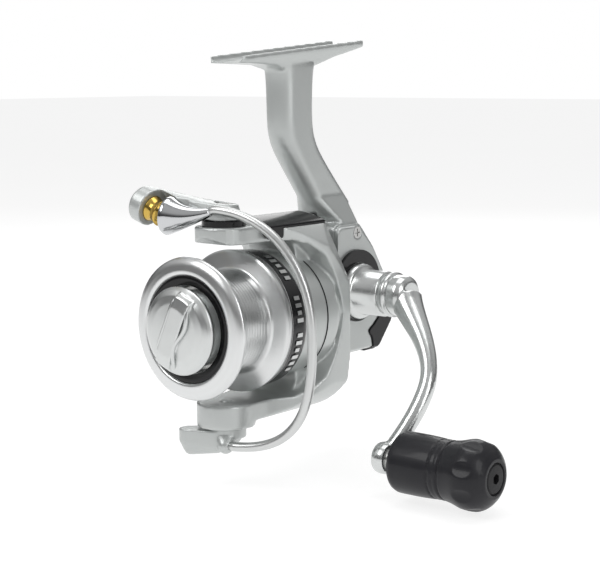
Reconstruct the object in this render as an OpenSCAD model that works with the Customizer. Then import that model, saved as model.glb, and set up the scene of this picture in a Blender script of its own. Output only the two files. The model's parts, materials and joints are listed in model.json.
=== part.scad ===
// Front-drag spinning reel for rod fishing, as an assembly of its working pieces.
// Millimetres. The origin is the middle of the foot's seat, where the rod lies: +Z points
// into the rod, the spool faces -Y and the crank is on the +X side.

/* [Spool] */
// Diameter across the spool's front lip
spool_lip_d = 45; // [38:0.5:52]
// Distance from the lip's front edge to the front of the rear flange
line_width = 20.7; // [17:0.1:25]
// Diameter of the drum the line is wound on
arbor_d = 33; // [28:0.5:36]
// Length of the skirt that reaches back over the rotor
skirt_len = 10.6; // [9:0.1:13]
// Diameter of the front drag knob
drag_knob_d = 27.6; // [22:0.2:29]
// How far the spool travels forward while winding
stroke = 9; // [7:0.5:9.5]

/* [Rotor and bail] */
// Diameter of the rotor's cup
rotor_cup_d = 40.6; // [35:0.2:48]
// Distance from the spool axis to the outer face of each rotor arm
arm_reach = 33; // [30:0.5:36]
// Half of the width of each rotor arm at the bail pivot
arm_half_w = 9.2; // [8:0.1:10]
// Distance of the bail pivots behind the spool's lip
pivot_y = 17; // [15:0.5:20]
// Thickness of the bail wire
wire_d = 3; // [2:0.1:4]
// How far the bail wire stands out sideways from its pivots
wire_reach = 34.5; // [32:0.5:38]
// Diameter of the line roller
roller_d = 8.4; // [6:0.1:9.5]

/* [Crank] */
// Distance from the crank's axis to the knob's axis
crank_len = 55.5; // [45:0.5:58]
// Length of the knob
knob_len = 34.8; // [28:0.5:40]
// Largest diameter of the knob
knob_d = 22; // [18:0.2:26]
// Angle of the crank arm forward of straight down
crank_rest = 33; // [0:1:60]

/* [Foot and stem] */
// Length of the foot that goes in the rod's reel seat
foot_len = 70; // [60:1:76]
// Width of the foot
foot_w = 15; // [12:0.5:18]
// Height of the foot's seat above the spool axis
seat_height = 86.4; // [80:0.2:100]
// Slope of the foot against the spool axis, in degrees
foot_tilt = 5.2; // [0:0.2:7]
// Radius of the rod blank the foot is hollowed for
rod_r = 20; // [16:1:30]

/* [Hidden] */
$fn = 96;

running = 0.05;
gap = 0.35;
seat_y = 50;
lip_r = spool_lip_d / 2;
flange_r = lip_r + 0.37;
arbor_r = arbor_d / 2;
knob_r = drag_knob_d / 2;
knob_front = -8.2;
cup_r = rotor_cup_d / 2;
skirt_end = line_width + skirt_len;
skirt_in_r = cup_r + 0.7;

// drive train
shaft_r = 2;
shaft_back = 84;
drive_y = 70.5;
gear_offset = 5;
drive_r = 2.5;
gear_teeth = 36;
pinion_teeth = 7;
pinion_r = 3.2;
gear_face_r = 11;
gear_outer_r = 12.2;
gear_inner_r = 9.2;
gear_face_x = -2.75;
gear_back_x = -5.2;
rib_depth = 0.9;
pinion_front_r = 3.2;
pinion_body_r = 3.6;
pinion_y0 = 57;
pinion_face = 7.4;
sleeve_r = 5.4;
mesh_y = sqrt(gear_face_r * gear_face_r - gear_offset * gear_offset);
ratio = gear_teeth / pinion_teeth;
helix_tan = (ratio * pinion_r - mesh_y) / gear_offset;
pinion_lead = 2 * PI * pinion_r / helix_tan;
spur_teeth = 13;
wheel_teeth = 26;
spur_r = 4;
wheel_r = spur_r * wheel_teeth / spur_teeth;
traverse_y = 80;
traverse_z = gear_offset - sqrt(pow(spur_r + wheel_r, 2) - pow(traverse_y - drive_y, 2));
pin_throw = stroke / 2;
// the spool is drawn one third of its stroke ahead of the rearmost place
rest_ahead = stroke / 3;
rest_offset = pin_throw - rest_ahead;
spur_x0 = 5.6;
spur_x1 = 7.4;

// body
wall_left = -11.5;
cover_x = 9.6;
cover_out = 11.6;
body_front = 60.8;
body_top = 28;
body_floor = -17.4;
shoulder_front = 65.6;
nose_r = 14.4;
nose_front = 41;
nose_back = 60.6;

// crank
collar_r = 9.4;
barrel_r = 7.6;
collar_x = 12.1;
barrel_x0 = 15.4;
barrel_x1 = 25;
head_x1 = 34.2;
arm_end_x = 45.8;
eye_half = 2.3;
knob_x0 = 51.6;
knob_axle_r = 2;
axle_flange_r = 3.6;

// rotor
cup_front = 25.2;
rotor_back = 58.4;
rear_in = nose_r + 1.5;
rear_out = cup_r - 3;
arm_in = arm_reach - 7.6;
yoke_half = 18.6;
dome_r = 22;
roller_swing_floor = 27;
swing_x = 1.2;
boss_z = arm_reach - 2.2;

// bail
roller_pos = [-17.2, 5, 35.4];
roller_tilt = 18;
roller_w = 4.4;
pin_r = 1.5;
arm_z0 = arm_reach - 0.4;
spacer_r = 7;
arm_z1 = arm_reach + 4.6;
low_z0 = arm_reach + 0.4;
low_z1 = low_z0 + 5.2;
wire_r = wire_d / 2;

module seated() {
  translate([0, -seat_y, -seat_height]) children();
}

module along_y(y0, y1, r, x = 0, z = 0) {
  translate([x, y0, z]) rotate([-90, 0, 0]) cylinder(h = y1 - y0, r = r);
}

module tube_y(y0, y1, r_out, r_in, x = 0, z = 0) {
  translate([x, y0, z]) rotate([-90, 0, 0]) difference() {
    cylinder(h = y1 - y0, r = r_out);
    translate([0, 0, -1]) cylinder(h = y1 - y0 + 2, r = r_in);
  }
}

module along_x(x0, x1, r, y, z) {
  translate([x0, y, z]) rotate([0, 90, 0]) cylinder(h = x1 - x0, r = r);
}

module tube_x(x0, x1, r_out, r_in, y, z) {
  translate([x0, y, z]) rotate([0, 90, 0]) difference() {
    cylinder(h = x1 - x0, r = r_out);
    translate([0, 0, -1]) cylinder(h = x1 - x0 + 2, r = r_in);
  }
}

// A shape turned about the spool axis from points of [radius, distance back].
module turned(points) {
  rotate([-90, 0, 0]) rotate_extrude() polygon(points);
}

// A shape turned about an X axis from points of [radius, x].
module turned_x(points, y, z) {
  translate([0, y, z]) rotate([0, 90, 0]) rotate_extrude() polygon(points);
}

// A side outline of [y, z] points given thickness from x0 to x1.
module side_plate(points, x0, x1) {
  translate([x0, 0, 0]) rotate([90, 0, 90]) linear_extrude(x1 - x0) polygon(points);
}

// Corners of an outline rounded to radius r, in steps of small chords.
function unit(v) = v / norm(v);
function corner(a, b, c, r) =
  let (u = unit(a - b), v = unit(c - b), half = acos(max(-1, min(1, u * v))) / 2,
    reach = min(r / tan(half), norm(a - b) * 0.49, norm(c - b) * 0.49),
    rr = reach * tan(half), centre = b + unit(u + v) * rr / sin(half),
    p = b + u * reach - centre, q = b + v * reach - centre)
  [for (i = [0:6]) let (k = i / 6, w = unit(p * (1 - k) + q * k)) centre + w * rr];
function rounded(pts, r) =
  let (n = len(pts))
  [for (i = [0:n - 1]) each corner(pts[(i + n - 1) % n], pts[i], pts[(i + 1) % n], r)];

// A round bar following a line of points: cross-sections joined into one skin.
module swept(path, radii, sides = 20) {
  n = len(path);
  function heading(i) = unit(path[min(i + 1, n - 1)] - path[max(i - 1, 0)]);
  function side_of(h) = unit(cross(h, abs(h[1]) > 0.9 ? [1, 0, 0] : [0, 1, 0]));
  rings = [for (i = [0:n - 1])
    let (h = heading(i), s = side_of(h), t = cross(h, s))
    for (j = [0:sides - 1])
      let (a = 360 * j / sides)
      path[i] + (s * cos(a) + t * sin(a)) * radii[i]];
  skin = [for (i = [0:n - 2]) for (j = [0:sides - 1])
    let (k = (j + 1) % sides)
    each [[i * sides + k, i * sides + j, (i + 1) * sides + k],
      [(i + 1) * sides + k, i * sides + j, (i + 1) * sides + j]]];
  first = [for (j = [0:sides - 1]) j];
  last = [for (j = [sides - 1:-1:0]) (n - 1) * sides + j];
  polyhedron(points = rings, faces = concat([first], skin, [last]), convexity = 6);
}

// ---------------------------------------------------------------- foot, stem and body

// Depth of the rod's hollow along the middle of the foot.
hollow_depth = 2.6;
rail_w = 1.2;

module foot_frame() {
  rotate([foot_tilt, 0, 0]) children();
}

// The foot's plan: long straight sides with round ends.
module foot_plan(inset = 0) {
  hull() for (s = [-1, 1])
    translate([0, s * (foot_len / 2 - foot_w / 2)]) circle(r = foot_w / 2 - inset, $fn = 48);
}

module foot() {
  color("silver") foot_frame() difference() {
    intersection() {
      translate([0, 0, -8]) linear_extrude(8) foot_plan();
      side_plate(rounded([[-foot_len / 2, 0], [-foot_len / 2, -1.8], [-14, -4.4], [-9, -6.4],
        [8, -6.6], [16, -4.6], [foot_len / 2, -1.8], [foot_len / 2, 0]], 3), -foot_w, foot_w);
      // rounded underside: thin along both edges and deep along the middle
      translate([0, foot_len, 0]) rotate([90, 0, 0]) linear_extrude(2 * foot_len)
        polygon(rounded([[-foot_w / 2, 0.1], [foot_w / 2, 0.1], [foot_w / 2, -1.7],
          [foot_w * 0.27, -7], [-foot_w * 0.27, -7], [-foot_w / 2, -1.7]], 3.4));
    }
    // hollow for the rod blank, leaving a flat rail along each edge
    intersection() {
      along_y(-foot_len, foot_len, rod_r, 0, rod_r - hollow_depth);
      translate([0, 0, -4]) cube([foot_w - 2 * rail_w, foot_len * 2, 8.01], center = true);
    }
  }
}

// One cross-section of the stem: an oval, longer fore and aft than it is wide.
module stem_slice(y, z, deep, wide) {
  translate([0, y, z]) linear_extrude(0.05, center = true)
    intersection() {
      hull() for (s = [-1, 1])
        translate([0, s * (deep / 2 - wide / 2)]) circle(r = wide / 2, $fn = 40);
      square([wide * 0.94, deep], center = true);
    }
}

function blend(a, b, k) = a + (b - a) * (3 * k * k - 2 * k * k * k);
stem_top_z = seat_height - 5.2;
stem_low_z = 34;
stem_bend_z = 56;
stem_steps = 18;
// The stem drops straight from the foot, then leans back at one bend.
function stem_z(k) = stem_top_z + (stem_low_z - stem_top_z) * k;
function stem_y(k) = 49.6 + 0.87 * 2.6 * ln(1 + exp((stem_bend_z - stem_z(k)) / 2.6));
function stem_deep(k) = 16.9 - 0.4 * sin(180 * k) + 2.9 * pow(k, 3) + 2.2 * pow(1 - k, 14);
function stem_wide(k) = 12.4 - 1.6 * k;

module stem() {
  color("silver") seated() for (i = [0:stem_steps - 1]) {
    k0 = i / stem_steps;
    k1 = (i + 1) / stem_steps;
    hull() {
      stem_slice(stem_y(k0), stem_z(k0), stem_deep(k0), stem_wide(k0));
      stem_slice(stem_y(k1), stem_z(k1), stem_deep(k1), stem_wide(k1));
    }
  }
}

// Side outline of the body, drawn in by a margin at the rear and the floor.
function body_points(m = 0, top = body_top) = rounded([[body_front, body_floor + m * 0.5],
  [body_front, top], [76.2 - m, top], [84.2 - m, 19], [90.4 - m, 9.6], [94.2 - m, -7],
  [86.6 - m, body_floor + m * 0.5]], 2.6);
cavity_outline = rounded([[body_front + 2, body_floor + 3], [body_front + 2, 18.5],
  [78.6, 18.5], [86, 11], [89.4, -4], [85.6, body_floor + 3]], 2);

// The body narrows upward into the stem over this shoulder.
module shoulder() {
  k = 0.93;
  hull() {
    stem_slice(stem_y(k), stem_z(k), stem_deep(k), stem_wide(k));
    translate([-6.4, shoulder_front, body_top - 1.5]) cube([12.8, 77.2 - shoulder_front, 0.5]);
    translate([-cover_x - 0.9, shoulder_front + 1.6, body_top - 1.5])
      cube([2 * cover_x + 1.8, 6.4, 0.5]);
  }
}

module body_housing() {
  color("gainsboro") seated() difference() {
    union() {
      side_plate(body_points(2), wall_left, cover_x);
      shoulder();
      side_plate(body_points(), wall_left + 2.4, cover_x - 2.2);
      along_y(nose_front, 51, nose_r);
      along_y(50, nose_back, nose_r + 1);
      along_y(nose_back - 1, body_front + 1, 9.4);
      along_x(wall_left - 1.4, wall_left + 1, 8.2, drive_y, gear_offset);
    }
    side_plate(cavity_outline, wall_left + 2.4, cover_x + 1);
    // room for the side cover below its seam
    translate([cover_x, body_front - 0.1, -40]) cube([4, 50, 40 + body_top - 0.1]);
    along_x(gear_back_x - 0.9, 3.4, gear_outer_r + 0.4, drive_y, gear_offset);
    along_x(3.3, cover_x + 1, 9.5, drive_y, gear_offset);
    // seats turned in the nose for the clutch, the pinion bearing and the pinion
    along_y(nose_front - 1, 49, 9 + running);
    along_y(48, 54, 7 + running);
    along_y(53, body_front + 3, 4.6);
    // left bearing seat and the way for the crank's shaft
    along_x(wall_left - 0.4, wall_left + 3, 5 + running, drive_y, gear_offset);
    along_x(wall_left - 3, wall_left + 3, 4, drive_y, gear_offset);
    along_y(body_front - 2, 90, 1.2, 2, -11);
    for (p = screw_places) along_x(cover_x - 7, cover_x + 1, 0.9, p[0], p[1]);
  }
}

screw_places = [[71.4, 24.7], [64.2, -13.4]];
stem_plug_y = 62;
stem_plug_z = 31.4;

module stem_plug() {
  color("black") seated() translate([0, stem_plug_y, stem_plug_z]) rotate([62, 0, 0])
    translate([0, 0, -1.4]) cylinder(h = 2, r = 1.7);
}

module side_cover() {
  color("silver") seated() difference() {
    union() {
      side_plate(body_points(2.6, body_top - 0.3), cover_x, cover_x + 1);
      side_plate(body_points(3.8, body_top - 1.1), cover_x + 0.9, cover_out);
      along_x(cover_x - 1.8, cover_out + 0.2, 9.2, drive_y, gear_offset);
    }
    along_x(cover_x - 3, cover_x + 1.4, 5 + running, drive_y, gear_offset);
    along_x(cover_x - 3, cover_out + 1, 4, drive_y, gear_offset);
    side_plate(trim_outline(0.1), cover_x + 1.2, cover_out + 1);
    for (p = screw_places) {
      along_x(cover_x - 1, cover_out + 1, 1.1, p[0], p[1]);
      along_x(cover_x + 1.1, cover_out + 1, 2.05, p[0], p[1]);
    }
  }
}

module cover_screws() {
  color("dimgray") seated() for (p = screw_places) {
    along_x(cover_x - 5.5, cover_x + 1.4, 0.9, p[0], p[1]);
    difference() {
      along_x(cover_x + 1.1, cover_out - 0.1, 2, p[0], p[1]);
      translate([cover_out, p[0], p[1]]) cube([1.2, 2.6, 0.5], center = true);
      translate([cover_out, p[0], p[1]]) cube([1.2, 0.5, 2.6], center = true);
    }
  }
}

// Side outline of the dark trim at the body's lower rear corner, grown by a clearance.
function trim_outline(c = 0) = rounded([[77.4 - c, -9.8 + c / 2], [80.4, -8 + c],
  [83.9, -5 + c], [86.2, -1.4 + c], [96, -1.4 + c], [98, -8], [90, body_floor - 3],
  [80.4 - c, body_floor - 3], [80 - c, -14.6], [79.4 - c, -12]], 0.8);
// The body's rear steps in towards the cover: [x from, x to, margin] of each step.
rear_steps = [[wall_left + 1.5, cover_x - 2.2, 0], [cover_x - 2.2, cover_x, 2],
  [cover_x, cover_x + 1, 2.6], [cover_x + 1, cover_out, 3.8]];
trim_wrap = 0.5;

module rear_trim() {
  color("black") seated() union() {
    intersection() {
      side_plate(trim_outline(), cover_x + 1.3, cover_out + 0.4);
      side_plate(body_points(3.8 - trim_wrap), cover_x, cover_out + 1);
    }
    intersection() {
      side_plate(trim_outline(), wall_left + 1, cover_out);
      difference() {
        for (st = rear_steps) side_plate(body_points(st[2] - trim_wrap), st[0], st[1] + 0.3);
        for (st = rear_steps) side_plate(body_points(st[2]), st[0] - 0.01, st[1] + 0.01);
      }
    }
  }
}

module boss_ring() {
  color("black") seated() difference() {
    along_x(cover_out, cover_out + 1.2, 12.2, drive_y, gear_offset + 1.8);
    along_x(cover_out - 1, cover_out + 3, collar_r + gap, drive_y, gear_offset);
    translate([cover_out - 1, 40, -20]) cube([5, body_front - 40 + 0.4, 60]);
  }
}

module shaft_bearings() {
  color("lightsteelblue") seated() {
    tube_x(cover_x - 1.6, cover_x + 1.4, 5, drive_r + running, drive_y, gear_offset);
    tube_x(wall_left - 0.4, wall_left + 2.6, 5, drive_r + running, drive_y, gear_offset);
  }
}

module pinion_bearing() {
  color("lightsteelblue") seated() tube_y(50, 54, 7, pinion_body_r + running);
}

module clutch_shell() {
  color("darkgoldenrod") seated() difference() {
    tube_y(42, 48.9, 9, 6.6);
    for (a = [0:45:315]) rotate([0, a, 0]) along_y(41, 48, 0.9, 6.7);
  }
}

module nose_plate() {
  color("gray") seated() difference() {
    tube_y(nose_front - 1.2, nose_front, nose_r - 1, 6.2);
    for (a = [30:120:270]) rotate([0, a, 0]) along_y(nose_front - 2, nose_front + 1, 1, 11.2);
  }
}

module guide_rod() {
  color("lightgray") seated() along_y(body_front - 2, 90, 1.2, 2, -11);
}

module left_cap() {
  color("silver") seated() difference() {
    turned_x([[0, wall_left - 3], [5.6, wall_left - 3], [6.8, wall_left - 2.2],
      [6.8, wall_left - 1.4], [3.4, wall_left - 1.4], [3.4, wall_left - 0.6],
      [0, wall_left - 0.6]], drive_y, gear_offset);
    translate([wall_left - 3, drive_y, gear_offset]) cube([1.4, 9, 1.3], center = true);
  }
}

// ---------------------------------------------------------------- crank and its gear

// Middle line of a face-gear tooth where it lies under the pinion at distance q from the
// crank's axis: the pinion's helix turned back by the gear's own turn.
function gear_line(q) =
  [sqrt(q * q + gear_offset * gear_offset),
    atan2(-q, gear_offset) + 360 * (q - mesh_y) / (pinion_lead * ratio)];
function polar(ra) = [ra[0] * cos(ra[1]), ra[0] * sin(ra[1])];
rib_from = sqrt(gear_inner_r * gear_inner_r - gear_offset * gear_offset);
rib_to = sqrt(pow(gear_outer_r - 0.2, 2) - gear_offset * gear_offset);
rib_half = 360 / gear_teeth * 0.15;
rib_points = [for (s = [-1, 1]) for (i = [0:6])
  let (k = s < 0 ? i / 6 : 1 - i / 6, g = gear_line(rib_from + (rib_to - rib_from) * k))
  polar([g[0], g[1] + s * rib_half])];

module spur_outline(teeth, pitch_r) {
  tooth = 360 / teeth;
  polygon([for (i = [0:teeth - 1])
    for (p = [[-0.55, -0.27], [0.5, -0.12], [0.5, 0.12], [-0.55, 0.27]])
      let (r = pitch_r + p[0], a = (i + p[1]) * tooth)
      [r * cos(a), r * sin(a)]]);
}

module drive_gear() {
  color("goldenrod") seated() difference() {
    union() {
      along_x(wall_left + 0.2, barrel_x1, drive_r, drive_y, gear_offset);
      along_x(gear_back_x, gear_face_x - rib_depth, gear_outer_r, drive_y, gear_offset);
      along_x(gear_back_x - 2.6, gear_face_x - 0.2, 5.4, drive_y, gear_offset);
      translate([gear_face_x - rib_depth - 0.2, drive_y, gear_offset])
        rotate([0, 90, 0]) linear_extrude(rib_depth + 0.2)
          for (i = [0:gear_teeth - 1]) rotate(i * 360 / gear_teeth) polygon(rib_points);
      translate([spur_x0, drive_y, gear_offset]) rotate([0, 90, 0])
        linear_extrude(spur_x1 - spur_x0) spur_outline(spur_teeth, spur_r);
    }
    along_x(wall_left, wall_left + 6, 1.1, drive_y, gear_offset);
  }
}

module crank_collar() {
  color("silver") seated() difference() {
    union() {
      turned_x([[0, collar_x], [collar_r - 0.6, collar_x], [collar_r, collar_x + 0.6],
        [collar_r, barrel_x0 - 0.8], [collar_r - 0.8, barrel_x0], [barrel_r, barrel_x0],
        [barrel_r, barrel_x1 - 0.5], [barrel_r - 0.5, barrel_x1], [barrel_r - 1, barrel_x1],
        [barrel_r - 1, barrel_x1 + 1.6], [barrel_r - 0.4, barrel_x1 + 1.6],
        [barrel_r - 0.1, barrel_x1 + 2], [barrel_r - 0.1, barrel_x1 + 3.2], [0, barrel_x1 + 3.2]],
        drive_y, gear_offset);
    }
    along_x(collar_x - 1, barrel_x1, drive_r, drive_y, gear_offset);
  }
}

knob_y = drive_y - crank_len * sin(crank_rest);
knob_z = gear_offset - crank_len * cos(crank_rest);

// The arm's run from the head at the shaft down to the knob's eye.
module crank_arm() {
  head_x = barrel_x1 + 3.2;
  peak = 0.55;
  steps = 26;
  bulge = 18.9;
  path = [for (i = [0:steps])
    let (k = i / steps, run = 1.5 + (crank_len - 1.5) * k,
      x = k < peak ? head_x + 4.9 + bulge * pow(sin(90 * k / peak), 1.12)
        : arm_end_x + (head_x + 4.9 + bulge - arm_end_x) * cos(90 * (k - peak) / (1 - peak)))
    [x, drive_y - run * sin(crank_rest), gear_offset - run * cos(crank_rest)]];
  radii = [for (i = [0:steps]) let (k = i / steps)
    2.8 + 2.6 * pow(1 - min(1, k / 0.42), 1.6) - 0.2 * pow(k, 3)];
  color("silver") seated() difference() {
    union() {
      swept(path, radii, 24);
      turned_x([[0, head_x], [6.9, head_x], [6.9, head_x1 - 2.4], [6.3, head_x1 - 1],
        [5, head_x1], [0, head_x1]], drive_y, gear_offset);
      turned_x([[0, arm_end_x - eye_half - 0.6], [3.4, arm_end_x - eye_half - 0.6],
        [4.7, arm_end_x - eye_half + 0.2], [5.1, arm_end_x - 0.8], [5.1, arm_end_x + 0.8],
        [4.7, arm_end_x + eye_half], [0, arm_end_x + eye_half]], knob_y, knob_z);
    }
    along_x(arm_end_x - 8, arm_end_x + 8, knob_axle_r, knob_y, knob_z);
    along_x(arm_end_x + eye_half, arm_end_x + 8, axle_flange_r, knob_y, knob_z);
  }
}

module knob_axle() {
  color("lightgray") seated() {
    along_x(arm_end_x - eye_half - 0.6, knob_x0 + knob_len - 5.4, knob_axle_r, knob_y, knob_z);
    along_x(arm_end_x + eye_half, knob_x0 - gap, axle_flange_r, knob_y, knob_z);
    along_x(knob_x0 + knob_len - 5.4, knob_x0 + knob_len - 4, 3.2, knob_y, knob_z);
  }
}

// Half-width of the knob along its length, 0 at the arm and 1 at the far end: full at the
// arm's end, a slight waist, a fuller bulge for the fingertips and a rounded nose.
function bump(k, at, width) = exp(-pow((k - at) / width, 2));
function knob_half(k) = knob_d / 2
  * (0.88 - 0.035 * bump(k, 0.52, 0.15) + 0.12 * bump(k, 0.79, 0.13))
  * (0.74 + 0.26 * sqrt(1 - pow(1 - min(1, k / 0.08), 2)))
  * sqrt(1 - pow(max(0, k - 0.86) / 0.18, 2));

module knob_grip() {
  n = 30;
  color("#1c1c1e") seated() difference() {
    turned_x(concat([[0, knob_x0]], [for (i = [0:n]) [knob_half(i / n), knob_x0 + i / n * knob_len]],
      [[0, knob_x0 + knob_len]]), knob_y, knob_z);
    // shallow thumb flutes around the bulge and the nose
    for (a = [22.5:45:337.5]) translate([knob_x0 + knob_len * 0.86, knob_y, knob_z])
      rotate([a, 0, 0]) rotate([0, 10, 0]) translate([0, 0, knob_d / 2 + 5.2]) rotate([0, 90, 0])
        cylinder(h = knob_len * 0.6, r = 6.4, center = true);
    for (k = groove_places) tube_x(knob_x0 + knob_len * k, knob_x0 + knob_len * k + 0.6,
      knob_d, knob_half(k) - 0.5, knob_y, knob_z);
    along_x(knob_x0 - 1, knob_x0 + knob_len - 5.8, knob_axle_r + running, knob_y, knob_z);
    along_x(knob_x0 + knob_len - 5.9, knob_x0 + knob_len + 2, cap_r, knob_y, knob_z);
  }
}
groove_places = [0.45, 0.5, 0.55];
cap_r = 4.9;

module knob_cap() {
  x_end = knob_x0 + knob_len;
  color("#26262a") seated() difference() {
    turned_x([[0, x_end - 3.6], [cap_r, x_end - 3.6], [cap_r, x_end - 0.5], [cap_r - 0.7, x_end],
      [0, x_end + 0.2]], knob_y, knob_z);
    translate([x_end - 2, knob_y, knob_z]) rotate([0, 90, 0]) cylinder(h = 4, r = 1.7, $fn = 6);
  }
}

// ---------------------------------------------------------------- rotor

// Side outline of one arm with the half of the yoke that joins it to the cup.
yoke_outer = rounded([[7, arm_in], [7, arm_reach + 4], [47, arm_reach + 4], [54.6, arm_reach - 1],
  [57, 22], [rotor_back, 14], [rotor_back, -6], [42, -6], [40, arm_in - 3], [37, arm_in]], 5);
// Hollow on each flank of the yoke, which leaves a rim all along the outer edge.
flank_hollow = rounded([[30, -7], [30, arm_in - 0.8], [40, arm_in - 1.2], [46, arm_in - 5.4],
  [50.6, 12.5], [53.2, 6], [rotor_back - 3.5, -1], [rotor_back - 3.5, -7]], 3.4);
// Slope that takes off each rear corner of the upper arm: its direction and its distance from the middle.
slope_dir = unit([0.79, 0.477, 0.389]);
slope_reach = 46;

module arm_plan() {
  polygon(concat(
    [for (i = [0:12]) let (k = i / 12) [blend(arm_half_w, yoke_half, k), 24 + 26 * k]],
    [[yoke_half, rotor_back + 1], [-yoke_half, rotor_back + 1]],
    [for (i = [12:-1:0]) let (k = i / 12) [-blend(arm_half_w, yoke_half, k), 24 + 26 * k]],
    [for (a = [180:15:360]) [arm_half_w * cos(a), pivot_y + arm_half_w * sin(a)]]));
}

module yoke_half_shape(sloped) {
  difference() {
    intersection() {
      side_plate(yoke_outer, -yoke_half, yoke_half);
      translate([0, 0, -1]) linear_extrude(arm_reach + 6) arm_plan();
      along_y(5, rotor_back + 1, dome_r, 0, arm_reach - dome_r);
    }
    along_y(5, 50.6, cup_r - 2);
    along_y(50, rotor_back + 2, rear_in + 0.5);
    if (sloped) for (m = [0, 1]) mirror([m, 0, 0]) intersection() {
      rotate([0, acos(slope_dir[2]), atan2(slope_dir[1], slope_dir[0])])
        translate([0, 0, slope_reach + 20]) cube([90, 90, 40], center = true);
      translate([0, 0, 1]) cube([90, 90, 90]);
    }
    for (m = [0, 1]) mirror([m, 0, 0]) side_plate(flank_hollow, 10, yoke_half + 2);
  }
}

cover_x0 = 2.6;
cover_x1 = 11.4;
cover_profile = rounded([[25, arm_reach - 12], [25, arm_reach + 2], [48, arm_reach + 2],
  [54, arm_reach - 2], [54, arm_reach - 12]], 1.6);

// The dark cover's shape, grown by a clearance for the seat it sits in.
module cover_block(c = 0) {
  intersection() {
    side_plate(cover_profile, cover_x0 - c, cover_x1 + c);
    difference() {
      along_y(20, rotor_back, dome_r + 0.5, 0, arm_reach - dome_r);
      along_y(20, rotor_back, dome_r - 3 - c, 0, arm_reach - dome_r);
    }
  }
}

module rotor() {
  color("gainsboro") seated() difference() {
    union() {
      turned([[cup_r - 2, cup_front], [cup_r - 0.6, cup_front], [cup_r, cup_front + 0.6], [cup_r, 43.8],
        [cup_r - 0.3, 44], [cup_r - 0.3, 44.3], [cup_r, 44.5], [cup_r, 49.4],
        [cup_r - 0.6, 50.8], [rear_out, 52], [rear_out, rotor_back - 0.6], [rear_in, rotor_back - 0.6],
        [rear_in, 50.6], [cup_r - 3.6, 49.4], [cup_r - 3.6, 39.4],
        [3.8, 39.4], [3.8, 35.4], [9, 35.4], [9, 33.6], [cup_r - 2, 33.6]]);
      for (s = [0, 180]) rotate([0, s, 0]) yoke_half_shape(s == 0);
      // full round boss at the lower arm's tip
      translate([0, pivot_y, -low_z0 + 0.3]) cylinder(h = low_z0 - arm_in - 0.3, r = arm_half_w + 0.15);
    }
    // the upper arm is cut back on one side so the line roller can swing past it
    difference() {
      translate([-40, pivot_y, roller_swing_floor]) cube([40 + swing_x, 50, 20]);
      translate([0, pivot_y, 0]) cylinder(h = 60, r = 15.5);
    }
    difference() {
      translate([-40, pivot_y, roller_swing_floor + 1.6]) cube([40 + swing_x, 50, 20]);
      translate([0, pivot_y, 0]) cylinder(h = 60, r = 9.6);
    }
    // level seats for the bail's arm and its holder, as far as they swing
    for (s = [0, 180]) rotate([0, s, 0]) difference() {
      translate([0, pivot_y, s == 0 ? boss_z : low_z0 - 0.3]) cylinder(h = 20, r = 14);
      translate([cover_x0, 24, 0]) cube([30, 30, 60]);
    }
    cover_block(0.05);
    // pocket for the bail's spring, under the cover
    translate([cover_x0 + 1.6, 26, arm_in + 1.6]) cube([cover_x1 - cover_x0 - 3.2, 20, 10]);
    // bores for the bail's pivots
    translate([0, pivot_y, -50]) cylinder(h = 100, r = 1.6);
    along_y(34, 40, pinion_front_r + running);
  }
}

module arm_cover() {
  color("black") seated() cover_block();
}

module rotor_nut() {
  color("lightgray") seated() translate([0, 31.6, 0]) rotate([-90, 0, 0]) difference() {
    cylinder(h = 3.8, r = 6, $fn = 6);
    translate([0, 0, -1]) cylinder(h = 6, r = pinion_front_r);
  }
}

module pinion_gear() {
  color("goldenrod") seated() difference() {
    union() {
      along_y(31.4, 41, pinion_front_r);
      along_y(40.9, pinion_y0, pinion_body_r);
      translate([0, pinion_y0, 0]) rotate([-90, 0, 0])
        linear_extrude(pinion_face, twist = -360 * pinion_face / pinion_lead, slices = 18, segments = 28)
          polygon([for (i = [0:pinion_teeth - 1])
            for (p = [[2.7, -0.24], [3.5, -0.09], [3.5, 0.09], [2.7, 0.24]])
              let (a = (i + p[1] + pinion_phase) * 360 / pinion_teeth)
              [p[0] * cos(a), p[0] * sin(a)]]);
    }
    along_y(30, 70, shaft_r + running);
  }
}
// A gap between pinion teeth faces the gear's middle rib.
pinion_phase = (180 - 360 * (drive_y - mesh_y - pinion_y0) / pinion_lead) * pinion_teeth / 360 + 0.5;

module clutch_sleeve() {
  color("lightgray") seated() tube_y(40.9, 49.6, sleeve_r, pinion_body_r);
}

// ---------------------------------------------------------------- bail

roller_dir = [cos(roller_tilt), 0, -sin(roller_tilt)];

module on_roller_axis() {
  translate(roller_pos) rotate([0, 90 + roller_tilt, 0]) children();
}

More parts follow.
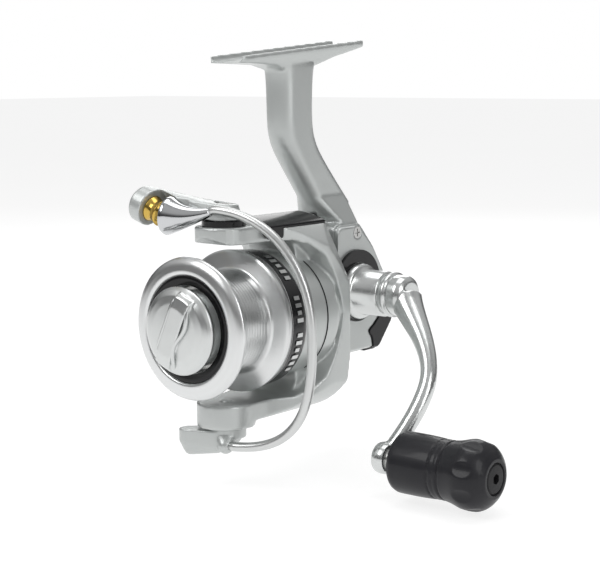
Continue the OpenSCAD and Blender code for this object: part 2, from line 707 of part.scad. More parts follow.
module bail_arm() {
  mid = [-10, 13, arm_z1 - 2.4];
  color("silver") seated() difference() {
    union() {
      hull() {
        translate([0, pivot_y, arm_z0]) cylinder(h = 1.4, r = 5.6, $fn = 32);
        translate([0, pivot_y, arm_z0]) cylinder(h = arm_z1 - arm_z0, r = 4.6, $fn = 32);
        translate(mid) cylinder(h = 3.8, r = 4, $fn = 32);
      }
      hull() {
        translate(mid) cylinder(h = 3.8, r = 4, $fn = 32);
        on_roller_axis() translate([0, 0, -roller_w / 2 - 4.8]) cylinder(h = 4.4, r = 5.9, $fn = 32);
        on_roller_axis() translate([0, 0, -roller_w / 2 - 6.4]) cylinder(h = 3, r = 4.2, $fn = 32);
      }
    }
    on_roller_axis() translate([0, 0, -roller_w / 2 - 0.35]) cylinder(h = roller_w + 2.4, r = 6.4);
    on_roller_axis() translate([0, 0, roller_w / 2]) cylinder(h = 9, r1 = 6.6, r2 = 4.6);
    on_roller_axis() translate([0, 0, -roller_w / 2 - 4]) cylinder(h = 10, r = pin_r);
    translate([0, pivot_y, arm_z0 - 1]) cylinder(h = 9, r = 1.6);
    translate([0, pivot_y, arm_z1 - 1.2]) cylinder(h = 9, r = 3);
  }
}

// Dark washer between the upper arm's tip and the bail's boss.
module pivot_spacer() {
  color("black") seated() translate([0, pivot_y, boss_z + 0.02]) difference() {
    cylinder(h = arm_z0 - boss_z - 0.07, r = spacer_r);
    translate([0, 0, -1]) cylinder(h = 6, r = 1.6);
  }
}

// The line is led from the wire over this cone and down onto the roller.
module line_cone() {
  tip = [-0.6, 11.4, 35.4];
  base = roller_pos + roller_dir * (roller_w / 2 + 1.35);
  steps = 18;
  path = [for (i = [0:steps]) let (k = i / steps)
    base + (tip - base) * k + [0, -1.2 * sin(180 * k), -0.8 * sin(180 * k)]];
  radii = [for (i = [0:steps]) let (k = i / steps)
    k < 0.12 ? 4.8 + 1.4 * sqrt(k / 0.12) : 1.5 + 4.7 * pow(1 - (k - 0.12) / 0.88, 1.35)];
  color("gainsboro") seated() union() {
    swept(path, radii, 24);
    on_roller_axis() translate([0, 0, -roller_w / 2 - 4])
      cylinder(h = roller_w + 5.6, r = pin_r);
  }
}

module line_roller() {
  color("gold") seated() on_roller_axis() rotate_extrude()
    polygon([[pin_r + running, -roller_w / 2], [roller_d / 2, -roller_w / 2],
      [roller_d / 2 - 0.5, -roller_w / 4], [roller_d / 2 - 0.75, 0],
      [roller_d / 2 - 0.5, roller_w / 4], [roller_d / 2, roller_w / 2],
      [pin_r + running, roller_w / 2]]);
}

// Half of the bail's height above and below its middle, and its squareness.
wire_mid_z = -1.2;
wire_half_h = 37.4;
wire_lean = 0.19;
function wire_point(a) =
  let (p = a > 0 ? 2 / 2.1 : 2 / 3, x = wire_reach * pow(abs(cos(a)), p),
    z = wire_mid_z + wire_half_h * pow(abs(sin(a)), p) * sign(a))
  [x, 11.5 + x * wire_lean, z];

module bail_wire() {
  steps = 56;
  top_a = 88.5;
  low_a = -87.3;
  path = concat([[-2.2, 11.2, 35.1]],
    [for (i = [0:steps]) wire_point(top_a + (low_a - top_a) * i / steps)]);
  color("whitesmoke") seated() swept(path, [for (p = path) wire_r], 16);
}

module bail_holder() {
  z_top = -low_z0;
  color("silver") seated() difference() {
    union() {
      translate([0, pivot_y, z_top - 3.4]) cylinder(h = 3.4, r = 6.4);
      hull() {
        translate([0, pivot_y, z_top - 3.6]) cylinder(h = 3, r = 5.4, $fn = 32);
        translate([3.6, 12.6, wire_mid_z - wire_half_h]) sphere(r = 2.7, $fn = 32);
      }
      hull() {
        translate([-1, pivot_y - 2.6, z_top - 4.6]) cylinder(h = 4, r = 4.6, $fn = 32);
        translate([-9.4, 9.6, z_top - 4.8]) cylinder(h = 4, r = 3.2, $fn = 32);
        translate([-8.4, 9.4, z_top - 6.9]) sphere(r = 2.4, $fn = 32);
        translate([0, 12.6, z_top - 5.6]) sphere(r = 2.6, $fn = 32);
      }
    }
    translate([0, pivot_y, z_top - 12]) cylinder(h = 20, r = 1.6);
    translate([0, pivot_y, -low_z1 - 10]) cylinder(h = 11.2, r = 3);
  }
}

// One bail pivot: shank in the rotor's arm, slotted head sunk in the bail's end.
module pivot_screw(z_end) {
  translate([0, 0, arm_in + 1]) cylinder(h = z_end - arm_in - 2, r = 1.6 - running);
  difference() {
    translate([0, 0, z_end - 1.2]) cylinder(h = 1.4, r = 2.8);
    translate([0, 0, z_end + 0.2]) cube([4, 0.7, 1.2], center = true);
  }
}

module pivot_screws() {
  color("lightgray") seated() {
    translate([0, pivot_y, 0]) pivot_screw(arm_z1);
    translate([0, pivot_y, 0]) rotate([0, 180, 0]) pivot_screw(low_z1);
  }
}

// ---------------------------------------------------------------- spool, drag and shaft

module spool() {
  ridges = [for (i = [0:9]) let (y = 6.4 + i * (line_width - 8.4) / 10)
    each [[arbor_r, y], [arbor_r - 0.22, y + 0.3], [arbor_r, y + 0.7]]];
  color("silver") seated() difference() {
    turned(concat(
      [[16.8, -0.7], [17.6, -1.2], [lip_r - 1.6, -0.5], [lip_r - 0.2, 0.6], [lip_r, 1.3],
        [lip_r - 0.3, 2.1], [lip_r - 1.2, 2.7], [arbor_r + 1, 4.2], [arbor_r, 5.4]],
      ridges,
      [[arbor_r, line_width - 1], [arbor_r + 1, line_width - 0.2], [flange_r - 0.8, line_width - 0.2],
        [flange_r, line_width + 0.4], [flange_r - 0.2, line_width + 2.3], [skirt_in_r + 0.7, line_width + 2.3],
        [skirt_in_r + 0.7, skirt_end], [skirt_in_r, skirt_end], [skirt_in_r, line_width + 0.9],
        [5.5, line_width + 0.9], [5.5, line_width + 2.2], [shaft_r + running, line_width + 2.2],
        [shaft_r + running, 9.4], [13.6, 9.4], [13.6, 0.4], [16.8, 0.4]]));
  }
}

module skirt_band() {
  color("black") seated() turned([[skirt_in_r + 0.7, line_width + 2.3],
    [flange_r - 0.2, line_width + 2.3], [flange_r - 0.9, skirt_end - 0.3],
    [flange_r - 1.1, skirt_end], [skirt_in_r + 0.7, skirt_end]]);
}

module face_ring() {
  color("black") seated() turned([[13.9, -0.4], [16.2, -0.7], [16.8, -0.4], [16.8, 0.4], [13.9, 0.4]]);
}

module line_clip() {
  color("black") seated() rotate([0, 200, 0]) translate([flange_r - 1.1, line_width + 6.4, 0])
    rotate([0, 90, 0]) difference() {
      cylinder(h = 1.7, r = 2);
      translate([0, 0, 1.5]) cube([0.5, 5, 1], center = true);
    }
}

module drag_washers() {
  color("dimgray") seated() for (i = [0:2])
    tube_y(4.8 + i * 1.5, 5.9 + i * 1.5, 13.1, shaft_r + 0.4);
}

module click_wheel() {
  color("dimgray") seated() translate([0, line_width + 0.9, 0]) rotate([-90, 0, 0])
    linear_extrude(1.2) difference() {
      polygon([for (i = [0:35]) for (p = [[8.4, 0], [9.3, 0.5]])
        [p[0] * cos((i + p[1]) * 10), p[0] * sin((i + p[1]) * 10)]]);
      circle(r = 5.5);
    }
}

module drag_knob() {
  f = knob_front;
  color("whitesmoke") seated() difference() {
    union() {
      turned([[0, f + 1.2], [5, f + 1.3], [9, f + 1.6], [11.4, f + 2.1], [knob_r - 0.9, f + 3],
        [knob_r, f + 4.2], [knob_r, f + 4.9], [knob_r - 0.7, f + 5.9], [12.2, f + 6.6], [12.2, 2.6],
        [10.8, 4.2], [10.8, 0.6], [6.2, 0.6], [6.2, 4.2], [0, 4.2]]);
      // raised grip bar across the face
      intersection() {
        rotate([0, 24, 0]) translate([-3.1, f - 2, -12.4]) cube([6.2, 6, 24.8]);
        turned([[0, f], [8, f + 0.1], [11.4, f + 0.8], [12.8, f + 2.4], [12.8, f + 5], [0, f + 5]]);
      }
    }
    along_y(-3.9, 6, shaft_r + 0.3);
    translate([0, 1.2, 0]) rotate([-90, 0, 0]) cylinder(h = 4, r = 4.6, $fn = 6);
  }
}

module drag_nut() {
  color("darkgoldenrod") seated() translate([0, 1.2, 0]) rotate([-90, 0, 0]) difference() {
    cylinder(h = 3, r = 4.6, $fn = 6);
    translate([0, 0, -1]) cylinder(h = 6, r = shaft_r + running);
  }
}

module main_shaft() {
  color("lightgray") seated() difference() {
    along_y(-3.4, shaft_back, shaft_r);
    along_y(shaft_back - 5, shaft_back + 1, 1);
  }
}

module slider() {
  y_mid = traverse_y + rest_offset;
  color("gray") seated() difference() {
    union() {
      translate([-2.5, y_mid - 2, -8.6]) cube([6.7, 4, 13.6]);
      along_y(y_mid - 2, y_mid + 0.4, 2.6, 2, -11);
    }
    along_y(y_mid - 4, y_mid + 4, shaft_r);
    along_y(y_mid - 4, y_mid + 4, 1.2 + 0.15, 2, -11);
    translate([2.7, y_mid - 1.25, traverse_z - pin_throw - 1.6])
      cube([3, 2.5, 2 * pin_throw + 3.2]);
  }
}

module traverse_gear() {
  color("gray") seated() difference() {
    union() {
      translate([spur_x0, traverse_y, traverse_z]) rotate([0, 90, 0])
        linear_extrude(spur_x1 - spur_x0) rotate(traverse_phase) spur_outline(wheel_teeth, wheel_r);
      along_x(spur_x0 - 1, spur_x0 + 0.1, 1, traverse_y + rest_offset,
        traverse_z - sqrt(pin_throw * pin_throw - rest_offset * rest_offset));
    }
    along_x(spur_x0 - 1, spur_x1 + 1, 1.2 + running, traverse_y, traverse_z);
  }
}
// Turns the traverse wheel so that its teeth sit in the gaps of the pinion on the crank's shaft.
mesh_angle = atan2(traverse_y - drive_y, gear_offset - traverse_z);
traverse_phase = 360 / wheel_teeth * (mesh_angle / (360 / spur_teeth) + 0.5) + mesh_angle + 180;

foot();
stem();
body_housing();
side_cover();
rear_trim();
cover_screws();
stem_plug();
boss_ring();
shaft_bearings();
pinion_bearing();
clutch_shell();
nose_plate();
guide_rod();
left_cap();
drive_gear();
crank_collar();
crank_arm();
knob_axle();
knob_grip();
knob_cap();
rotor();
arm_cover();
rotor_nut();
pinion_gear();
clutch_sleeve();
bail_arm();
bail_wire();
pivot_spacer();
line_cone();
bail_holder();
pivot_screws();
line_roller();
main_shaft();
slider();
spool();
skirt_band();
face_ring();
line_clip();
drag_washers();
click_wheel();
drag_knob();
drag_nut();
traverse_gear();
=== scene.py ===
import json
import math

import bmesh
import bpy
from mathutils import Matrix, Vector


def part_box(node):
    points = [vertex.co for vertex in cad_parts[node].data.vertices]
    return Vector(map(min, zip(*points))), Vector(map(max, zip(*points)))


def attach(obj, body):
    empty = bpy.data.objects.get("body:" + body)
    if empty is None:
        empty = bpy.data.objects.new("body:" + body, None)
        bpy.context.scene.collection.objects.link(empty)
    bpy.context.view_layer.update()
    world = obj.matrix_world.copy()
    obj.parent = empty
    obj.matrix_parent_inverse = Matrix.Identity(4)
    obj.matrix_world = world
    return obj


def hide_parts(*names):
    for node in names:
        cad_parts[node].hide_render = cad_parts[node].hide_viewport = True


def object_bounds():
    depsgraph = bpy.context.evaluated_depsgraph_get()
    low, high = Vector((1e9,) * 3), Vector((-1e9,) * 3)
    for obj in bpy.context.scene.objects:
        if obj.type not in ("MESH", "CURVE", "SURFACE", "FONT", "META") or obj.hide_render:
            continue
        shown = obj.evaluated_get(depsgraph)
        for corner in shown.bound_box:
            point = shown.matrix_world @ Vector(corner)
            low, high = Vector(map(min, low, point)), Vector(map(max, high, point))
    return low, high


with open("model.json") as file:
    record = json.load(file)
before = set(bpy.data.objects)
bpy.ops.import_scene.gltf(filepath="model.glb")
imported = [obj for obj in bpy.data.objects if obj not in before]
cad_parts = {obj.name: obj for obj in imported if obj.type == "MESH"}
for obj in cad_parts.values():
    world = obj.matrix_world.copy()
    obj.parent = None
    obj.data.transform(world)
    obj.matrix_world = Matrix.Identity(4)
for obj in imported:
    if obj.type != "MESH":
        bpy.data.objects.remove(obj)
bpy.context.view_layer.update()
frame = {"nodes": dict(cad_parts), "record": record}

scene = bpy.context.scene
nodes = frame["nodes"]
MM = 0.001
MERGE_DISTANCE = 1e-6

# The spool's axis runs along Y; the lip is the spool's front edge.
spool_low, spool_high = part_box("spool")
axis_x = (spool_low.x + spool_high.x) / 2
axis_z = (spool_low.z + spool_high.z) / 2
lip_y = spool_low.y
band_low, band_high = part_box("skirt_band")


# ---------------------------------------------------------------- node trees

class Value:
    """A node's output that does arithmetic by adding Math nodes to its tree."""

    def __init__(self, tree, socket):
        self.tree = tree
        self.socket = socket

    def math(self, operation, *others):
        values = {i: v for i, v in enumerate((self, *others))}
        return self.tree.node("ShaderNodeMath", {"operation": operation}, values)

    def swapped(self, operation, other):
        return self.tree.node("ShaderNodeMath", {"operation": operation}, {0: other, 1: self})

    def __add__(self, other):
        return self.math("ADD", other)

    def __sub__(self, other):
        return self.math("SUBTRACT", other)

    def __mul__(self, other):
        return self.math("MULTIPLY", other)

    def __truediv__(self, other):
        return self.math("DIVIDE", other)

    def __rsub__(self, other):
        return self.swapped("SUBTRACT", other)

    def __rtruediv__(self, other):
        return self.swapped("DIVIDE", other)

    __radd__ = __add__
    __rmul__ = __mul__


class Tree:
    """A node tree that grows by one call for each node."""

    def __init__(self, nodes_and_links):
        self.tree = nodes_and_links

    def node(self, kind, settings=None, values=None, out=0):
        made = self.tree.nodes.new(kind)
        for name, setting in (settings or {}).items():
            if name == "stops":
                ramp = made.color_ramp
                while len(ramp.elements) < len(setting):
                    ramp.elements.new(0.5)
                for element, (place, shade) in zip(ramp.elements, setting):
                    element.position = place
                    element.color = (shade, shade, shade, 1)
            else:
                setattr(made, name, setting)
        for name, value in (values or {}).items():
            if isinstance(value, Value):
                self.tree.links.new(value.socket, made.inputs[name])
            else:
                made.inputs[name].default_value = value
        return Value(self, made.outputs[out])


class Finish(Tree):
    """One surface finish, on its own coordinates in metres."""

    def __init__(self, name, **fixed):
        self.material = bpy.data.materials.new(name)
        self.material.use_nodes = True
        super().__init__(self.material.node_tree)
        self.tree.nodes.clear()
        self.shader = self.tree.nodes.new("ShaderNodeBsdfPrincipled")
        output = self.tree.nodes.new("ShaderNodeOutputMaterial")
        self.tree.links.new(self.shader.outputs[0], output.inputs[0])
        for name_of_input, value in fixed.items():
            self.shader.inputs[name_of_input.replace("_", " ")].default_value = value
        self.place = self.node("ShaderNodeTexCoord", out=3)
        split = self.node("ShaderNodeSeparateXYZ", None, {0: self.place}).socket.node
        self.x, self.y, self.z = (Value(self, o) for o in split.outputs)

    def noise(self, size, detail=3.0, roughness=0.55):
        """Noise whose grains are about `size` metres across."""
        return self.node("ShaderNodeTexNoise", {"noise_dimensions": "3D"},
                         {"Vector": self.place, "Scale": 1 / size, "Detail": detail,
                          "Roughness": roughness})

    def lines(self, along, size, detail=2.0):
        """Noise that changes only along one value, as tool marks do."""
        return self.node("ShaderNodeTexNoise", {"noise_dimensions": "1D"},
                         {"W": along, "Scale": 1 / size, "Detail": detail})

    def radius(self, x, z):
        """Distance from an axis along Y at (x, z)."""
        dx = self.x - x
        dz = self.z - z
        return (dx * dx + dz * dz).math("SQRT")

    def mixed(self, factor, first, second):
        return self.node("ShaderNodeMix", {"data_type": "RGBA"},
                         {0: factor, 6: first, 7: second}, out=2)

    def feed(self, **inputs):
        for name, value in inputs.items():
            self.tree.links.new(value.socket, self.shader.inputs[name.replace("_", " ")])

    def bump(self, height, depth, strength=1.0):
        made = self.node("ShaderNodeBump", None,
                         {"Strength": strength, "Distance": depth, "Height": height})
        self.tree.links.new(made.socket, self.shader.inputs["Normal"])


def shade(r, g, b):
    return (r, g, b, 1.0)


# ---------------------------------------------------------------- finishes

def sprayed_silver(name, dark, light, roughness, metallic):
    """Silver paint with fine metal flake, a soft orange peel and faint handling marks."""
    f = Finish(name, Metallic=metallic, Coat_Roughness=0.12, Coat_IOR=1.45)
    cloud = f.noise(22 * MM, 3)
    flake = f.noise(0.22 * MM, 1)
    peel = f.noise(1.6 * MM, 2)
    rub = f.noise(5 * MM, 5, 0.7).math("POWER", 3.0)
    f.feed(Base_Color=f.mixed(cloud * 0.7 + flake * 0.3, dark, light),
           Roughness=roughness + (flake - 0.5) * 0.10 + rub * 0.16,
           Coat_Weight=0.35 - rub * 0.3)
    f.bump(peel * 0.7 + flake * 0.12, 0.05 * MM, 0.35)
    return f.material


def turned_metal(name, colour, roughness, mark, depth):
    """Bare metal with the fine rings a lathe leaves round the spool's axis, on faces and drums."""
    f = Finish(name, Metallic=1.0)
    across = f.radius(axis_x, axis_z) + f.y * 0.83
    rings = f.lines(across, mark, 3)
    broad = f.lines(across, mark * 9, 2)
    smear = f.noise(6 * MM, 3)
    dark = shade(*(c * 0.86 for c in colour))
    f.feed(Base_Color=f.mixed(rings * 0.5 + broad * 0.5, dark, shade(*colour)),
           Roughness=roughness + (rings - 0.5) * 0.08 + (smear - 0.5) * 0.04)
    f.bump(rings, depth, 0.25)
    return f.material


def plated(name, colour, roughness):
    """Bright plating with slight ripples and faint wipe marks."""
    f = Finish(name, Metallic=1.0)
    ripple = f.noise(4 * MM, 2)
    wipe = f.noise(0.8 * MM, 4, 0.7)
    dark = shade(*(c * 0.93 for c in colour))
    f.feed(Base_Color=f.mixed(ripple, dark, shade(*colour)),
           Roughness=roughness + wipe.math("POWER", 4.0) * 0.25)
    f.bump(ripple, 0.02 * MM, 0.3)
    return f.material


def moulded(name, dark, light, roughness, grain, depth, coat=0.0):
    """Moulded plastic or rubber with a fine grain and a few dull patches."""
    f = Finish(name, Coat_Roughness=0.1, Coat_Weight=coat, Specular_IOR_Level=0.18)
    skin = f.noise(grain, 3)
    patch = f.noise(9 * MM, 4, 0.65)
    f.feed(Base_Color=f.mixed(skin * 0.5 + patch * 0.5, dark, light),
           Roughness=roughness + (patch - 0.5) * 0.12 + (skin - 0.5) * 0.05)
    f.bump(skin, depth, 0.5)
    return f.material


silver = sprayed_silver("silver_paint", shade(0.44, 0.46, 0.455), shade(0.56, 0.58, 0.57), 0.36, 0.6)
pale_silver = sprayed_silver("pale_silver_paint", shade(0.47, 0.49, 0.485), shade(0.58, 0.60, 0.59),
                             0.38, 0.6)
lip_metal = turned_metal("turned_spool_metal", (0.76, 0.77, 0.77), 0.30, 0.22 * MM,
                         0.004 * MM)
drag_plate = plated("bright_drag_plating", (0.66, 0.675, 0.67), 0.30)
wire_metal = plated("satin_wire_plating", (0.66, 0.67, 0.665), 0.32)
cone_plate = plated("dark_bright_plating", (0.60, 0.61, 0.62), 0.10)
crank_metal = sprayed_silver("crank_paint", shade(0.56, 0.575, 0.57), shade(0.74, 0.755, 0.75),
                             0.22, 0.9)
gold = plated("gold_plating", (0.62, 0.42, 0.10), 0.2)
steel = plated("bright_steel", (0.58, 0.58, 0.57), 0.26)
brass = plated("gear_brass", (0.62, 0.47, 0.22), 0.3)
black_gloss = moulded("gloss_black", shade(0.004, 0.004, 0.0045), shade(0.011, 0.011, 0.012), 0.2,
                      0.6 * MM, 0.004 * MM, coat=0.25)
black_satin = moulded("satin_black", shade(0.008, 0.008, 0.009), shade(0.022, 0.022, 0.024), 0.42,
                      0.3 * MM, 0.015 * MM)
soft_black = moulded("soft_touch_black", shade(0.012, 0.012, 0.014), shade(0.026, 0.026, 0.030), 0.36,
                     0.25 * MM, 0.012 * MM, coat=0.12)
white_plastic = moulded("white_gear_plastic", shade(0.62, 0.61, 0.58), shade(0.74, 0.73, 0.70), 0.45,
                        0.5 * MM, 0.01 * MM)


def band_finish():
    """Gloss black print round the skirt with a silver hairline near each edge."""
    f = Finish("printed_band", Coat_Weight=0.15, Coat_Roughness=0.08, Specular_IOR_Level=0.25)
    width = band_high.y - band_low.y
    across = (f.y - band_low.y) / width
    edge = (across - 0.5).math("ABSOLUTE")
    line = edge.math("GREATER_THAN", 0.43) * edge.math("LESS_THAN", 0.455)
    skin = f.noise(0.5 * MM, 3)
    black = f.mixed(skin, shade(0.005, 0.005, 0.006), shade(0.012, 0.012, 0.013))
    f.feed(Base_Color=f.mixed(line, black, shade(0.5, 0.5, 0.5)),
           Roughness=0.2 + (skin - 0.5) * 0.08)
    return f.material


# ---------------------------------------------------------------- making pieces

def plain_mesh(name, source, body, material, smooth_angle=None):
    """The evaluated source as a plain mesh riding on a body; the source is removed."""
    depsgraph = bpy.context.evaluated_depsgraph_get()
    mesh = bpy.data.meshes.new_from_object(source.evaluated_get(depsgraph))
    mesh.name = name
    bpy.data.objects.remove(source)
    piece = bpy.data.objects.new(name, mesh)
    scene.collection.objects.link(piece)
    mesh.materials.clear()
    mesh.materials.append(material)
    for polygon in mesh.polygons:
        polygon.use_smooth = True
    if smooth_angle is not None:
        mesh.set_sharp_from_angle(angle=math.radians(smooth_angle))
    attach(piece, body)
    return piece


def merged_copy(names):
    """One object with the merged meshes of some CAD nodes."""
    shape = bmesh.new()
    for name in names:
        part = bmesh.new()
        part.from_mesh(nodes[name].data)
        bmesh.ops.remove_doubles(part, verts=part.verts, dist=MERGE_DISTANCE)
        mesh = bpy.data.meshes.new(name + "_part")
        part.to_mesh(mesh)
        part.free()
        shape.from_mesh(mesh)
        bpy.data.meshes.remove(mesh)
    mesh = bpy.data.meshes.new("copy_of_" + names[0])
    shape.to_mesh(mesh)
    shape.free()
    made = bpy.data.objects.new(mesh.name, mesh)
    scene.collection.objects.link(made)
    return made


def cast_piece(name, names, body, material, grain, passes):
    """Castings and mouldings: the nodes run into one skin, with every edge and corner eased."""
    source = merged_copy(names)
    skin = source.modifiers.new("skin", "REMESH")
    skin.mode = "VOXEL"
    skin.voxel_size = grain
    skin.use_smooth_shade = True
    ease = source.modifiers.new("ease", "SMOOTH")
    ease.factor = 0.5
    ease.iterations = passes
    piece = plain_mesh(name, source, body, material)
    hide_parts(*names)
    return piece


def turned_piece(name, names, body, material, angle=28):
    """Turned and machined pieces: smooth round their curves, crisp at their edges."""
    piece = plain_mesh(name, merged_copy(names), body, material, angle)
    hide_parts(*names)
    return piece


slot_of_node = {row["node"]: row["material_slot"] for row in frame["record"]["subparts"]}


def slot_for(node_name):
    return slot_of_node[node_name]


cast_piece("cast_body", ["foot", "stem", "body_housing"], "frame", silver,
           0.5 * MM, 7)
cast_piece("cast_cover", ["side_cover"], "frame", silver, 0.3 * MM, 3)
cast_piece("cast_rotor", ["rotor"], "rotor", pale_silver, 0.5 * MM, 3)
cast_piece("forged_crank", ["crank_arm"], "crank", crank_metal, 0.34 * MM, 5)
cast_piece("cast_bail_arm", ["bail_arm"], "bail", pale_silver, 0.28 * MM, 4)
cast_piece("cast_bail_holder", ["bail_holder"], "bail", pale_silver,
           0.28 * MM, 4)
cast_piece("plated_drag_knob", ["drag_knob"], "drag", drag_plate, 0.26 * MM, 4)
cast_piece("moulded_grip", ["knob_grip"], "knob", soft_black, 0.32 * MM, 2)
cast_piece("moulded_arm_cover", ["arm_cover"], "rotor", black_gloss,
           0.22 * MM, 3)
cast_piece("moulded_trim", ["rear_trim"], "frame", black_gloss, 0.2 * MM, 2)

turned_piece("polished_cone", ["line_cone"], "bail", cone_plate, 40)
turned_piece("bent_wire", ["bail_wire"], "bail", wire_metal, 50)
turned_piece("gold_roller", ["line_roller"], "line_roller", gold, 50)
turned_piece("turned_spool", ["spool"], "spool", lip_metal, 25)
turned_piece("skirt_print", ["skirt_band"], "spool", band_finish())
turned_piece("black_spool_ring", ["face_ring"], "spool", black_gloss)
turned_piece("crank_barrel", ["crank_collar"], "crank", crank_metal)

finish_of_node = {
    "boss_ring": black_gloss, "left_cap": black_satin, "stem_plug": black_satin,
    "pivot_spacer": black_gloss, "knob_cap": black_satin, "cover_screws": steel,
    "clutch_shell": black_satin, "nose_plate": black_satin, "guide_rod": steel,
    "shaft_bearings": steel, "pinion_bearing": steel, "drive_gear": brass, "knob_axle": steel,
    "rotor_nut": steel, "pinion_gear": brass, "clutch_sleeve": steel, "pivot_screws": steel,
    "main_shaft": steel, "slider": steel, "line_clip": black_satin, "drag_washers": steel,
    "click_wheel": white_plastic, "drag_nut": steel, "traverse_gear": white_plastic,
}
for node_name, finish in finish_of_node.items():
    shown = nodes[node_name]
    if not shown.material_slots:
        shown.data.materials.append(None)
    for place in shown.material_slots:
        place.material = finish


# ---------------------------------------------------------------- repeated details

class GeometryTree(Tree):
    """A Geometry Nodes group with named number inputs, ending in one mesh of one finish."""

    def __init__(self, name, inputs):
        group = bpy.data.node_groups.new(name, "GeometryNodeTree")
        super().__init__(group)
        group.interface.new_socket("Geometry", in_out="OUTPUT", socket_type="NodeSocketGeometry")
        self.identifier = {}
        for input_name, value in inputs.items():
            kind = "NodeSocketInt" if isinstance(value, int) else "NodeSocketFloat"
            made = group.interface.new_socket(input_name, in_out="INPUT", socket_type=kind)
            made.default_value = value
            self.identifier[input_name] = made.identifier
        self.inputs = inputs
        self.entry = group.nodes.new("NodeGroupInput")

    def given(self, name):
        return Value(self, self.entry.outputs[name])

    def make(self, geometry, name, body, material, slot_name, angle=35):
        """Runs the tree and turns its result into a plain mesh on a body."""
        real = self.node("GeometryNodeRealizeInstances", None, {0: geometry})
        coloured = self.node("GeometryNodeSetMaterial", None, {"Geometry": real, "Material": material})
        end = self.tree.nodes.new("NodeGroupOutput")
        self.tree.links.new(coloured.socket, end.inputs[0])
        seed = bpy.data.objects.new(name + "_maker", bpy.data.meshes.new(name + "_maker"))
        scene.collection.objects.link(seed)
        step = seed.modifiers.new("nodes", "NODES")
        step.node_group = self.tree
        for input_name, value in self.inputs.items():
            step[self.identifier[input_name]] = value
        return plain_mesh(name, seed, body, material, angle)


def ring_of_bars(name, body, material, slot_name, **sizes):
    """Low bars standing round the spool's axis, from one angle to another."""
    g = GeometryTree(name + "_nodes", sizes)
    count = g.given("Count")
    line = g.node("GeometryNodeMeshLine", {"mode": "OFFSET"}, {"Count": count})
    index = g.node("GeometryNodeInputIndex")
    angle = g.given("From") + (g.given("To") - g.given("From")) * (index / (count - 1))
    radius = g.given("Radius")
    place = g.node("ShaderNodeCombineXYZ", None,
                   {0: angle.math("SINE") * radius + axis_x, 1: g.given("Along"),
                    2: angle.math("COSINE") * radius + axis_z})
    placed = g.node("GeometryNodeSetPosition", None, {"Geometry": line, "Position": place})
    size = g.node("ShaderNodeCombineXYZ", None,
                  {0: g.given("Width"), 1: g.given("Length"), 2: g.given("Height")})
    bar = g.node("GeometryNodeMeshCube", None, {"Size": size})
    turn = g.node("ShaderNodeCombineXYZ", None, {0: 0.0, 1: angle, 2: 0.0})
    wave = (index * 2.4).math("SINE") * 0.5 + 0.5
    stretch = g.node("ShaderNodeCombineXYZ", None,
                     {0: 1.0, 1: wave * g.given("Unevenness") + (1 - g.given("Unevenness")), 2: 1.0})
    bars = g.node("GeometryNodeInstanceOnPoints", None,
                  {"Points": placed, "Instance": bar, "Rotation": turn, "Scale": stretch})
    return g.make(bars, name, body, material, slot_name)


def groove_shade_tube(name, body, slot_name, along, radius, width):
    """A thin black tube round the spool's axis: painted shade for the shadow in the groove where two
    turned surfaces meet.
    """
    g = GeometryTree(name + "_nodes", {"Radius": radius, "Width": width})
    circle = g.node("GeometryNodeCurvePrimitiveCircle", {"mode": "RADIUS"},
                    {"Resolution": 128, "Radius": g.given("Radius")})
    section = g.node("GeometryNodeCurvePrimitiveCircle", {"mode": "RADIUS"},
                     {"Resolution": 8, "Radius": g.given("Width") / 2})
    tube = g.node("GeometryNodeCurveToMesh", None, {"Curve": circle, "Profile Curve": section})
    stood = g.node("GeometryNodeTransform", None,
                   {"Geometry": tube, "Translation": (axis_x, along, axis_z),
                    "Rotation": (math.pi / 2, 0.0, 0.0)})
    return g.make(stood, name, body, black_satin, slot_name)


# The rotor's cup, and how far behind the lip its groove runs; a black tube there is painted shade for
# the groove's shadow.
CUP_RADIUS = 20.3 * MM
GROOVE_BACK = 45.2 * MM
groove_shade_tube("rotor_groove", "rotor", slot_for("rotor"), lip_y + GROOVE_BACK, CUP_RADIUS, 0.45 * MM)

# Each group of bars on the skirt: its first and last angle in degrees, and how many bars.
BAR_GROUPS = ((24, 50, 5), (68, 86, 4), (98, 130, 6))
band_r = (band_high.x - band_low.x) / 2
band_y = (band_low.y + band_high.y) / 2
for group, (start, end, count) in enumerate(BAR_GROUPS):
    ring_of_bars(f"band_marks_{group}", "spool", wire_metal, slot_for("skirt_band"), Count=count,
                 From=math.radians(start), To=math.radians(end), Radius=band_r, Along=band_y,
                 Width=1.3 * MM, Length=3.0 * MM, Height=0.12 * MM, Unevenness=0.35)


# The grip bar's lean from upright, and its half length as a share of the knob's radius.
GRIP_LEAN = math.radians(24)
GRIP_SHARE = 0.80


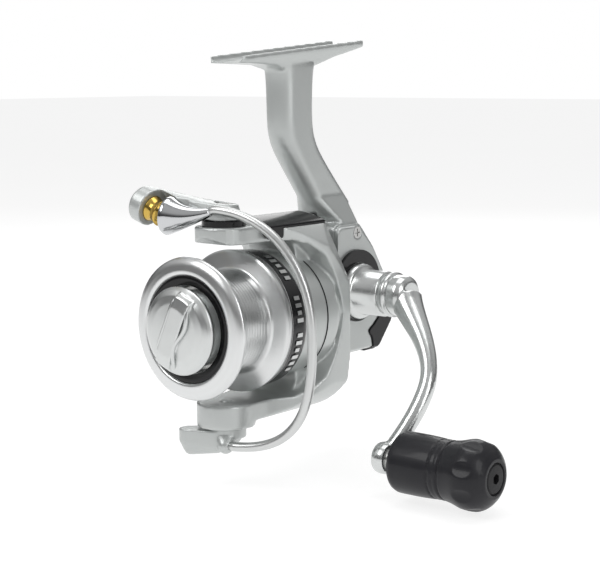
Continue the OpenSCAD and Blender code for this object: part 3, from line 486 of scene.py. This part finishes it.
def grip_ridge(name, offset, sway, thickness):
    """A raised ridge along one side of the drag knob's grip bar; sway makes it an S."""
    knob_low, knob_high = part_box("drag_knob")
    reach = (knob_high.x - knob_low.x) / 2 * GRIP_SHARE
    along = Vector((math.sin(GRIP_LEAN), 0, math.cos(GRIP_LEAN)))
    aside = Vector((math.cos(GRIP_LEAN), 0, -math.sin(GRIP_LEAN)))
    line = bpy.data.curves.new(name + "_line", "CURVE")
    line.dimensions = "3D"
    line.bevel_depth = thickness
    line.bevel_resolution = 4
    line.use_fill_caps = True
    spline = line.splines.new("POLY")
    steps = 40
    spline.points.add(steps)
    for i, point in enumerate(spline.points):
        k = 2 * i / steps - 1
        side = offset + sway * math.sin(k * 1.5 * math.pi)
        distance = math.hypot(k * reach, side)
        depth = knob_low.y + 0.75 * MM + 1.3 * MM * (distance / reach) ** 6
        place = Vector((axis_x, depth, axis_z)) + along * (k * reach) + aside * side
        point.co = (*place, 1)
        point.radius = math.sqrt(max(0.06, 1 - k ** 6))
    maker = bpy.data.objects.new(name + "_maker", line)
    scene.collection.objects.link(maker)
    return plain_mesh(name, maker, "drag", drag_plate)


grip_ridge("grip_ridge_left", -3.2 * MM, 0.1 * MM, 0.75 * MM)
grip_ridge("grip_ridge_right", 3.5 * MM, 0.9 * MM, 0.7 * MM)


# ---------------------------------------------------------------- floor, light, camera

object_low, object_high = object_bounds()
middle = (object_low + object_high) / 2


def make_floor():
    """A wide pale sheet just under the object."""
    f = Finish("pale_floor", Specular_IOR_Level=0.1, Emission_Color=shade(1, 1, 1),
               Emission_Strength=0.8)
    cloud = f.noise(0.3, 2)
    f.feed(Base_Color=f.mixed(cloud, shade(0.27, 0.27, 0.27), shade(0.29, 0.29, 0.29)),
           Roughness=0.75 + (cloud - 0.5) * 0.1)
    mesh = bpy.data.meshes.new("floor")
    reach = 6.0
    z = object_low.z - 1.0 * MM
    mesh.from_pydata([(-reach, -reach, z), (reach, -reach, z), (reach, reach, z), (-reach, reach, z)],
                     [], [(0, 1, 2, 3)])
    floor = bpy.data.objects.new("floor", mesh)
    scene.collection.objects.link(floor)
    mesh.materials.append(f.material)


# Soft boxes: name, place, width and height in metres, and power in watts.
SOFT_BOXES = (
    ("key", (-0.25, -0.65, 0.55), 0.45, 0.45, 3.0),
    ("side", (0.75, -0.15, 0.25), 0.25, 0.6, 1.6),
    ("top", (0.0, 0.1, 0.8), 0.7, 0.5, 2.6),
    ("back", (-0.4, 0.6, 0.35), 0.5, 0.5, 1.6),
)


def make_light(name, place, width, height, power):
    """One soft box that faces the middle of the object."""
    light = bpy.data.lights.new(name, "AREA")
    light.shape = "RECTANGLE"
    light.size = width
    light.size_y = height
    light.energy = power
    made = bpy.data.objects.new(name, light)
    scene.collection.objects.link(made)
    made.location = place
    made.rotation_euler = (middle - Vector(place)).to_track_quat("-Z", "Y").to_euler()


def make_sky():
    """White studio walls with a few darker stretches, which the bright metal picks up."""
    world = bpy.data.worlds.new("studio")
    scene.world = world
    world.use_nodes = True
    t = Tree(world.node_tree)
    world.node_tree.nodes.clear()
    place = t.node("ShaderNodeTexCoord", out=0)
    split = t.node("ShaderNodeSeparateXYZ", None, {0: place}).socket.node
    x, y, z = (Value(t, o) for o in split.outputs)
    height = t.node("ShaderNodeValToRGB",
                    {"stops": [(0.0, 0.6), (0.46, 0.5), (0.51, 0.04), (0.60, 0.22), (0.72, 0.8),
                               (1.0, 1.0)]}, {0: z * 0.5 + 0.5})
    bands = (x.math("ARCTAN2", y) * 3.0 + 0.6).math("SINE") * 0.5 + 0.5
    level = bands * 0.55 + 0.45
    grey = t.node("ShaderNodeMix", {"data_type": "RGBA", "blend_type": "MULTIPLY"},
                  {0: 1.0, 6: height, 7: level}, out=2)
    walls = t.node("ShaderNodeBackground", None, {"Color": grey, "Strength": 0.62})
    plain = t.node("ShaderNodeBackground", None, {"Color": (1, 1, 1, 1), "Strength": 1.0})
    seen = t.node("ShaderNodeLightPath", out=0)
    both = t.node("ShaderNodeMixShader", None, {0: seen, 1: walls, 2: plain})
    out = world.node_tree.nodes.new("ShaderNodeOutputWorld")
    world.node_tree.links.new(both.socket, out.inputs[0])


def make_camera():
    """Front three-quarter view from the crank's side, a little above the spool's axis."""
    data = bpy.data.cameras.new("camera")
    data.sensor_width = 36
    data.lens = 90
    data.clip_start = 0.02
    data.clip_end = 50
    camera = bpy.data.objects.new("camera", data)
    scene.collection.objects.link(camera)
    azimuth, elevation, roll = (math.radians(a) for a in (39.24, 8.08, -0.31))
    back = Vector((math.sin(azimuth) * math.cos(elevation), -math.cos(azimuth) * math.cos(elevation),
                   math.sin(elevation)))
    look = (-back).to_track_quat("-Z", "Y").to_matrix().to_4x4()
    stand = Vector((axis_x + 315.3 * MM, lip_y - 330.2 * MM, axis_z + 78.3 * MM))
    camera.matrix_world = Matrix.Translation(stand) @ look @ Matrix.Rotation(roll, 4, "Z")
    scene.camera = camera


make_floor()
for box in SOFT_BOXES:
    make_light(*box)
make_sky()
make_camera()
scene.view_settings.view_transform = "Standard"
